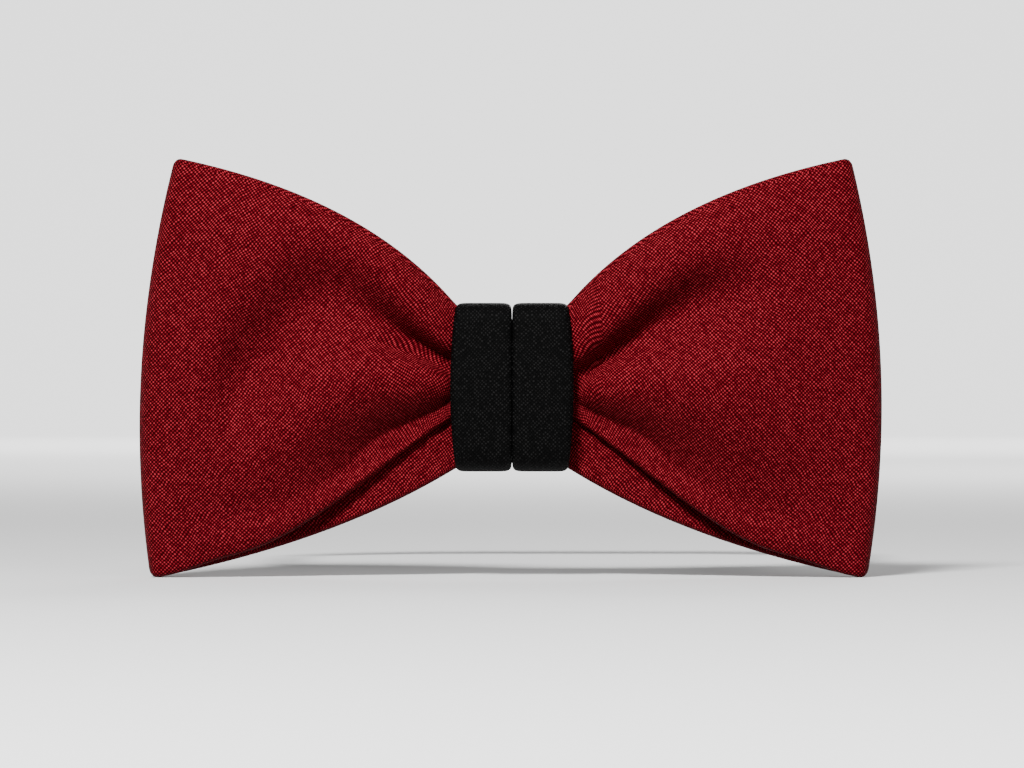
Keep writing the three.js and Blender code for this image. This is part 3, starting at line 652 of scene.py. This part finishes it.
def interlining_piece(name, wing, steps):
    rings = wing_rings(wing, INTERLINING_HALF, BLADE_HALF + HEM + INTERLINING_GAP, steps)
    points, faces, _ = loft(rings, *grain_of(rings, steps), closed_ends=True)
    if wing.sign < 0:
        faces = [f[::-1] for f in faces]
    return make_piece(name, points, faces, interlining)


def build_wing(wing):
    cloth = tube_piece(f"{wing.side}_wing_fabric", wing, CLOTH_STEPS)
    stiffener = interlining_piece(f"{wing.side}_wing_stiffener", wing, INTERLINING_STEPS)
    for piece, node in ((cloth, f"{wing.side}_wing_cloth"), (stiffener, f"{wing.side}_wing_interlining")):
        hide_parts(node)
        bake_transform(piece)
    return cloth


left_wing = Wing("left", top_inset=6.4, bottom_inset=1.9, reach=70.3, creases=LEFT_CREASES)
right_wing = Wing("right", top_inset=5.6, bottom_inset=2.6, reach=69.8, creases=RIGHT_CREASES)
for each_wing in (left_wing, right_wing):
    wing_piece = build_wing(each_wing)


# ---- Knot -------------------------------------------------------------------------------------

BAND_HALF_THICKNESS = 0.45
FRONT_CORNER = 3.6
BACK_CORNER = 2.4
FRONT_PILLOW = 0.5  # how far the knot's front swells between its top and bottom
KNOT_BOW = 0.95  # how far each side bows out between the knot's top and bottom
NOTCH = 0.22  # half the gap between the bands at the top and bottom of the knot
EDGE_ROLL = 0.7  # how far each band's outer edge rolls inwards
NOTCH_ROLL = 0.4  # the same where the two bands meet
BAND_GAP = 0.02  # half the gap between the bands at mid height
LAP_END_Z = 11.4
LAP_START_Z = -7.0


def band_path():
    """The band's middle line in (y, z): up the back, over the top, down the front, and over its start."""
    half = KNOT_HALF_HEIGHT - BAND_HALF_THICKNESS + CLEARANCE
    front = KNOT_FRONT_Y + BAND_HALF_THICKNESS
    outer_ply = KNOT_BACK_Y - BAND_HALF_THICKNESS
    inner_ply = outer_ply - 2 * BAND_HALF_THICKNESS - CLEARANCE
    rise = np.linspace(LAP_START_Z, half - BACK_CORNER, 14)[:-1]
    start = np.stack([np.full(len(rise), inner_ply), rise], axis=1)
    fall = np.linspace(half - FRONT_CORNER, FRONT_CORNER - half, 24)[1:-1]
    pillow = FRONT_PILLOW * np.cos(fall / (half - FRONT_CORNER) * math.pi / 2)
    face = np.stack([front - pillow, fall], axis=1)
    end_rise = np.linspace(BACK_CORNER - half, LAP_END_Z, 16)[1:]
    end = np.stack([np.full(len(end_rise), outer_ply), end_rise], axis=1)
    return np.concatenate([
        start,
        arc(inner_ply - BACK_CORNER, half - BACK_CORNER, BACK_CORNER, 0, 90, 8),
        arc(front + FRONT_CORNER, half - FRONT_CORNER, FRONT_CORNER, 90, 180, 12),
        face,
        arc(front + FRONT_CORNER, FRONT_CORNER - half, FRONT_CORNER, 180, 270, 12),
        arc(outer_ply - BACK_CORNER, BACK_CORNER - half, BACK_CORNER, 270, 360, 8),
        end,
    ])


def path_normals(path):
    """Unit normals on the right of a 2D path, which is its outside where it turns left."""
    heading = np.gradient(path, axis=0)
    heading /= np.linalg.norm(heading, axis=1, keepdims=True)
    return np.stack([heading[:, 1], -heading[:, 0]], axis=1)


def knot_band(side, sign):
    path = band_path()
    outward = path_normals(path)
    turn = np.radians(np.linspace(0, 360, 64, endpoint=False))
    share = rounded(np.cos(turn), 0.35)
    off = rounded(np.sin(turn), 0.6) * BAND_HALF_THICKNESS
    off = off - np.where(share > 0, EDGE_ROLL, NOTCH_ROLL) * np.abs(share) ** 12
    height = np.abs(path[:, 1]) / KNOT_HALF_HEIGHT
    outer_edge = KNOT_HALF_WIDTH + CLEARANCE - KNOT_BOW * height ** 2
    inner_edge = BAND_GAP + NOTCH * height ** 30
    across = lerp(inner_edge[:, None], outer_edge[:, None], (share[None, :] + 1) / 2)
    rings = np.zeros((len(path), len(turn), 3))
    rings[..., 0] = sign * across
    rings[..., 1] = path[:, None, 0] + outward[:, None, 0] * off[None, :]
    rings[..., 2] = path[:, None, 1] + outward[:, None, 1] * off[None, :]
    length = lengths_along(path[:, None, :], 0)
    along = np.repeat(length, len(turn), axis=1)
    around = np.concatenate([across, across[:, :1]], axis=1)
    points, faces, grain = loft(rings, along, around, closed_ends=True)
    if sign < 0:
        faces = [f[::-1] for f in faces]
        corners = np.split(grain, np.cumsum([len(f) for f in faces])[:-1])
        grain = np.concatenate([c[::-1] for c in corners])
    piece = make_piece(f"knot_wrap_{side}", points, faces, black, grain)
    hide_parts(f"knot_band_{side}")
    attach(piece, "knot_and_strap")


for band_side, band_sign in (("left", -1), ("right", 1)):
    knot_band(band_side, band_sign)


def waist_piece():
    """The gathered cloth inside the knot, seen only if the knot is taken apart."""
    low, high = box_mm("bow_waist")
    middle_y = (low[1] + high[1]) / 2
    half_y = (high[1] - low[1]) / 2
    half_z = high[2]
    turn = np.linspace(0, 2 * math.pi, 96, endpoint=False)
    ripple = 0.25 * (np.cos(10 * turn) - 1)
    y = middle_y + (half_y + ripple) * rounded(np.cos(turn), 0.6)
    z = (half_z + ripple) * rounded(np.sin(turn), 0.35)
    stations = np.linspace(-ROOT_X + CLEARANCE, ROOT_X - CLEARANCE, 9)
    rings = np.zeros((len(stations), len(turn), 3))
    rings[..., 0] = stations[:, None]
    rings[..., 1] = y[None, :]
    rings[..., 2] = z[None, :]
    along = np.repeat(stations[:, None], len(turn), axis=1)
    around = np.repeat((np.append(turn, 2 * math.pi) * 10)[None, :], len(stations), axis=0)
    points, faces, grain = loft(rings, along, around, closed_ends=True)
    piece = make_piece("gathered_waist", points, faces, burgundy, grain)
    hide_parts("bow_waist")
    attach(piece, "knot_and_strap")


def dress(node, material):
    """A better material for a shape that stays as the frame has it."""
    mesh = frame["nodes"][node].data
    mesh.materials.clear()
    mesh.materials.append(material)


waist_piece()
dress("waist_binding_thread", binding)
dress("knot_back_stitching", binding)


# ---- Neck strap -------------------------------------------------------------------------------

def ribbon(name, path):
    """A strap of even thickness along a path in (x, y), standing upright, with soft selvedges."""
    path = np.asarray(path, float)
    outward = path_normals(path)
    turn = np.radians(np.linspace(0, 360, 40, endpoint=False))
    z = rounded(np.sin(turn), 0.3) * STRAP_HALF_WIDTH
    off = rounded(np.cos(turn), 0.5) * STRAP_THICKNESS / 2
    rings = np.zeros((len(path), len(turn), 3))
    rings[..., 0] = path[:, None, 0] + outward[:, None, 0] * off[None, :]
    rings[..., 1] = path[:, None, 1] + outward[:, None, 1] * off[None, :]
    rings[..., 2] = z[None, :]
    length = lengths_along(path[:, None, :], 0)
    along = np.repeat(length, len(turn), axis=1)
    around = np.repeat(np.append(z, z[0])[None, :], len(path), axis=0)
    points, faces, grain = loft(rings, along, around, closed_ends=True)
    return make_piece(name, points, faces, grosgrain, grain)


def spaced(path, step):
    """The same path with points about every step millimetres."""
    path = np.asarray(path, float)
    length = lengths_along(path[:, None, :], 0)[:, 0]
    places = np.linspace(0, length[-1], max(2, int(length[-1] / step)) + 1)
    return np.stack([np.interp(places, length, path[:, i]) for i in range(2)], axis=1)


CORNER_X = FLANK_X - RIGHT_CORNER
FRONT_CORNER_Y = STRAP_MIDDLE_Y + RIGHT_CORNER
BACK_CORNER_Y = LOOP_BACK_Y - RIGHT_CORNER
BAR_X = hook_bar[0]
EYE_FAR_Y = eye_high[1] - WIRE / 2
EYE_NEAR_Y = eye_low[1] + WIRE / 2
WRAP_RADIUS = WIRE / 2 + CLEARANCE + STRAP_THICKNESS / 2
WRAP_RUN = 4.4
LAP_LENGTH = 12.0
tack_low, tack_high = box_mm("strap_tack_right")
STRAP_JOIN_X = (tack_low[0] + tack_high[0]) / 2  # two lengths of strap meet under the right tack


def wrap(bar_y, toward):
    """The strap's turn round a bar, a little over half a circle, towards +Y (1) or -Y (-1)."""
    start, end = (160, 380) if toward > 0 else (200, -20)
    return arc(BAR_X, bar_y, WRAP_RADIUS, start, end, 20)


def eye_end_path():
    """From the doubled end at the eye, round the nape and the left side, to behind the knot."""
    lap_radius = RIGHT_CORNER + LAP_OFFSET
    close_y = EYE_FAR_Y + WRAP_RUN
    lap_angle = math.degrees((LAP_LENGTH - max(0, BACK_CORNER_Y - close_y)) / lap_radius)
    return np.concatenate([
        arc(CORNER_X, BACK_CORNER_Y, lap_radius, lap_angle, 2, 8),
        [[FLANK_X + LAP_OFFSET, close_y]],
        wrap(EYE_FAR_Y, 1)[::-1],
        [[FLANK_X, close_y]],
        arc(CORNER_X, BACK_CORNER_Y, RIGHT_CORNER, 2, 90, 30),
        arc(LEFT_CORNER - FLANK_X, LOOP_BACK_Y - LEFT_CORNER, LEFT_CORNER, 90, 180, 30),
        arc(LEFT_CORNER - FLANK_X, STRAP_MIDDLE_Y + LEFT_CORNER, LEFT_CORNER, 180, 270, 30),
        [[STRAP_JOIN_X - CLEARANCE / 2, STRAP_MIDDLE_Y]],
    ])


def hook_end_path():
    """From behind the knot, round the right front corner, to the wrap round the hook's bar."""
    close_y = hook_bar[1] - WRAP_RUN
    return np.concatenate([
        [[STRAP_JOIN_X + CLEARANCE / 2, STRAP_MIDDLE_Y]],
        arc(CORNER_X, FRONT_CORNER_Y, RIGHT_CORNER, -90, 0, 40),
        [[FLANK_X, close_y]],
        wrap(hook_bar[1], -1),
        [[FLANK_X + LAP_OFFSET, close_y]],
    ])


nape_strap = ribbon("neck_strap_webbing", spaced(eye_end_path(), 1.0))
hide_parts("neck_strap")
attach(nape_strap, "knot_and_strap")

free_end = ribbon("strap_end_webbing", spaced(hook_end_path(), 0.8))
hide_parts("strap_end")
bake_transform(free_end)

return_x = (return_low[0] + return_high[0]) / 2
doubled = ribbon("strap_return_webbing",
                 spaced([[return_x, return_low[1]], [return_x, return_high[1]]], 0.8))
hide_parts("strap_return")
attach(doubled, "strap_end")
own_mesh(doubled)

slider_bar_x = slider_high[0] - SLIDER_BAR / 2
loop_radius = slider_bar_x - FLANK_X - LAP_OFFSET
loop_end_y = return_low[1] - CLEARANCE
tail = ribbon("slider_loop_webbing", spaced(np.concatenate([
    [[FLANK_X + LAP_OFFSET, loop_end_y]],
    arc(slider_bar_x, SLIDER_Y, loop_radius, 180, 350, 24),
    [[FLANK_X + 2 * LAP_OFFSET, lerp(SLIDER_Y, loop_end_y, 0.55)]],
    [[FLANK_X + 2 * LAP_OFFSET, loop_end_y]],
]), 0.5))
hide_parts("slider_loop")
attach(tail, "slider")


# ---- Stitches and metal -----------------------------------------------------------------------

OFF_AXIS = np.array([1.0, 0.02, 0.01])  # no rod here runs this way, so it can give each its side
STITCHES = 22
STITCH_RADIUS = 0.17


def rod(name, path, radius, material, closed=False, sides=14):
    """A round rod or thread along a 3D path."""
    path = np.asarray(path, float)
    if closed:
        heading = np.roll(path, -1, axis=0) - np.roll(path, 1, axis=0)
    else:
        heading = np.gradient(path, axis=0)
    heading /= np.linalg.norm(heading, axis=1, keepdims=True)
    side = np.cross(heading, OFF_AXIS)
    side /= np.linalg.norm(side, axis=1, keepdims=True)
    up = np.cross(heading, side)
    turn = np.linspace(0, 2 * math.pi, sides, endpoint=False)
    rings = (path[:, None, :] + radius * (np.cos(turn)[None, :, None] * side[:, None, :]
                                          + np.sin(turn)[None, :, None] * up[:, None, :]))
    if closed:
        rings = np.concatenate([rings, rings[:1]])
    length = lengths_along(rings, 0)
    around = np.repeat(np.linspace(0, 1, sides + 1)[None, :], len(rings), axis=0)
    points, faces, grain = loft(rings, length, around, closed_ends=not closed)
    if closed:
        count = len(points) - sides
        faces = [tuple(v % count for v in f) for f in faces]
        points = points[:count]
    faces = [f[::-1] for f in faces]
    quads = grain[:4 * (len(rings) - 1) * sides].reshape(-1, 4, 2)[:, ::-1].reshape(-1, 2)
    grain = np.concatenate([quads, grain[len(quads):]])
    return make_piece(name, points, faces, material, grain)


def tack(name, node, body, slant):
    """A row of zigzag stitches where the frame has one low bar of thread."""
    low, high = box_mm(node)
    centre = (low + high) / 2
    half = (high - low) / 2
    steps = np.linspace(0, 1, STITCHES * 4 + 1)
    swing = np.sin(steps * STITCHES * math.pi)
    path = np.zeros((len(steps), 3))
    path[:, 2] = lerp(low[2], high[2], steps)
    path[:, :2] = centre[:2] + swing[:, None] * np.array(slant) * max(half[0], half[1])
    piece = rod(name, path, STITCH_RADIUS, thread, sides=8)
    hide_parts(node)
    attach(piece, body)


tack("knot_tack_stitches_left", "strap_tack_left", "knot_and_strap", (1, 0))
tack("knot_tack_stitches_right", "strap_tack_right", "knot_and_strap", (1, 0))
tack("slider_tack_stitches", "slider_bar_tack", "slider", (0, 1))
tack("eye_tack_stitches", "eye_bar_tack", "knot_and_strap", (-0.07, 1))


def rounded_loop(x, low_y, high_y, half_height, corner):
    """A closed rounded rectangle in the plane x, as 3D points."""
    corners = [(high_y - corner, half_height - corner, 0), (low_y + corner, half_height - corner, 90),
               (low_y + corner, corner - half_height, 180), (high_y - corner, corner - half_height, 270)]
    outline = np.concatenate([arc(y, z, corner, a, a + 90, 6) for y, z, a in corners])
    return np.column_stack([np.full(len(outline), x), outline])


metal_half_height = eye_high[2] - WIRE / 2
eye_piece = rod("eye_ring", rounded_loop(BAR_X, EYE_NEAR_Y, EYE_FAR_Y, metal_half_height, 1.0),
                WIRE / 2, plate, closed=True)
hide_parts("eye")
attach(eye_piece, "knot_and_strap")

dress("hook", plate)
dress("slider", plate)


# ---- Floor, light and camera ------------------------------------------------------------------

VIEW_WIDTH = 193.2  # millimetres seen across the picture at the knot
VIEW_DISTANCE = 1.25  # metres, as are the values below
CAMERA_HEIGHT = 0.0006
SENSOR = 36.0
FLOOR_RADIUS = 3.4  # well beyond the camera, also when it looks from behind
FLOOR_BEND = 1.2
WALL_HEIGHT = 4.0
FLOOR_SIDES = 96


def sweep():
    """A pale round floor that curves up into a wall, so that every side has the same backdrop."""
    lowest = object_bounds()[0][2]
    pale = Nodes("pale paper", Roughness=0.95, Specular_IOR_Level=0.0, Base_Color=(0.9, 0.9, 0.9, 1.0))
    profile = [(FLOOR_RADIUS / 4, 0.0)]
    for angle in np.linspace(0, math.pi / 2, 24):
        reach = FLOOR_RADIUS + FLOOR_BEND * math.sin(angle)
        profile.append((reach, FLOOR_BEND - FLOOR_BEND * math.cos(angle)))
    profile.append((FLOOR_RADIUS + FLOOR_BEND, WALL_HEIGHT))
    turns = np.linspace(0, 2 * math.pi, FLOOR_SIDES, endpoint=False)
    points = [(r * math.cos(t), r * math.sin(t), lowest + z) for r, z in profile for t in turns]
    faces = [tuple(range(FLOOR_SIDES))]
    for ring in range(len(profile) - 1):
        for side in range(FLOOR_SIDES):
            here = ring * FLOOR_SIDES
            beyond = here + FLOOR_SIDES
            after = (side + 1) % FLOOR_SIDES
            faces.append((here + side, beyond + side, beyond + after, here + after))
    mesh = bpy.data.meshes.new("paper_sweep")
    mesh.from_pydata(points, [], faces)
    mesh.polygons.foreach_set("use_smooth", [True] * len(faces))
    mesh.materials.append(pale.material)
    paper = bpy.data.objects.new("paper_sweep", mesh)
    bpy.context.scene.collection.objects.link(paper)
    paper.visible_diffuse = False  # the paper throws no light back up on to the bow


def surround(strength):
    world = bpy.data.worlds.new("studio")
    world.use_nodes = True
    background = world.node_tree.nodes["Background"]
    background.inputs["Color"].default_value = (1.0, 1.0, 1.0, 1.0)
    background.inputs["Strength"].default_value = strength
    bpy.context.scene.world = world


def softbox(name, place, target, size, power):
    data = bpy.data.lights.new(name, "AREA")
    data.shape = "DISK"
    data.size = size
    data.energy = power
    lamp = bpy.data.objects.new(name, data)
    lamp.location = place
    lamp.rotation_mode = "QUATERNION"
    lamp.rotation_quaternion = (Vector(target) - Vector(place)).to_track_quat("-Z", "Y")
    bpy.context.scene.collection.objects.link(lamp)


def camera():
    data = bpy.data.cameras.new("camera")
    data.sensor_width = SENSOR
    data.lens = SENSOR * VIEW_DISTANCE / (VIEW_WIDTH * MM)
    data.clip_end = 20
    body = bpy.data.objects.new("camera", data)
    body.location = (0.0, WING_MIDDLE_Y * MM - VIEW_DISTANCE, CAMERA_HEIGHT)
    body.rotation_euler = (math.pi / 2, 0, 0)
    bpy.context.scene.collection.objects.link(body)
    bpy.context.scene.camera = body


sweep()
surround(0.24)
softbox("key", place=(-0.25, -0.98, 0.82), target=(0, 0, 0), size=0.30, power=32.0)
softbox("fill", place=(0.5, -1.2, 0.35), target=(0, 0, 0), size=0.6, power=3.0)
softbox("backdrop light", place=(0, 2.4, 1.9), target=(0, 4.2, 0.1), size=1.4, power=130.0)
softbox("rear fill", place=(0.3, 1.5, 0.8), target=(0, 0, 0), size=0.7, power=12.0)
camera()
